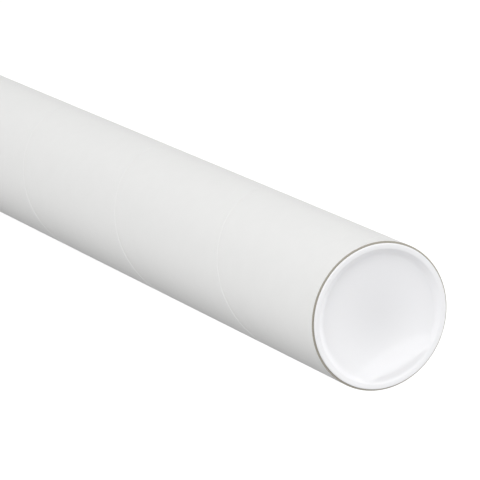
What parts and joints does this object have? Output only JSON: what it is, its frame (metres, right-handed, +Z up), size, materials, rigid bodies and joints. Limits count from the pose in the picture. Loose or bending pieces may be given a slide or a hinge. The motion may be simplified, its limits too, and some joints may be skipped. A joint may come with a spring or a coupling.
{
  "type": "mailing tube",
  "caption": "Round white paperboard mailing tube with a recessed white plastic plug pushed into each end.",
  "frame": {"origin": "centre of the base cap's flange face, on the tube's axis, where the standing tube meets the ground", "axes": "+Z up the tube's axis, from the base cap to the top cap; X and Y are any two radii, as the tube is round"},
  "size_m": [0.0801, 0.0802, 0.6122],
  "materials": {
    "paperboard": "matte white liner over grey-brown board",
    "cap_plastic": "smooth moulded white polyethylene"
  },
  "bodies": {
    "base_cap": {"base_cap": "cap_plastic"},
    "tube": {"tube": "paperboard"},
    "top_cap": {"top_cap": "cap_plastic"}
  },
  "joints": [
    {"name": "tube_off_base_cap", "type": "slide", "parent": "base_cap", "child": "tube", "axis": [0, 0, 1], "range_m": [0, 0.1]},
    {"name": "top_cap_pull", "type": "slide", "parent": "tube", "child": "top_cap", "axis": [0, 0, 1], "range_m": [0, 0.1]}
  ]
}
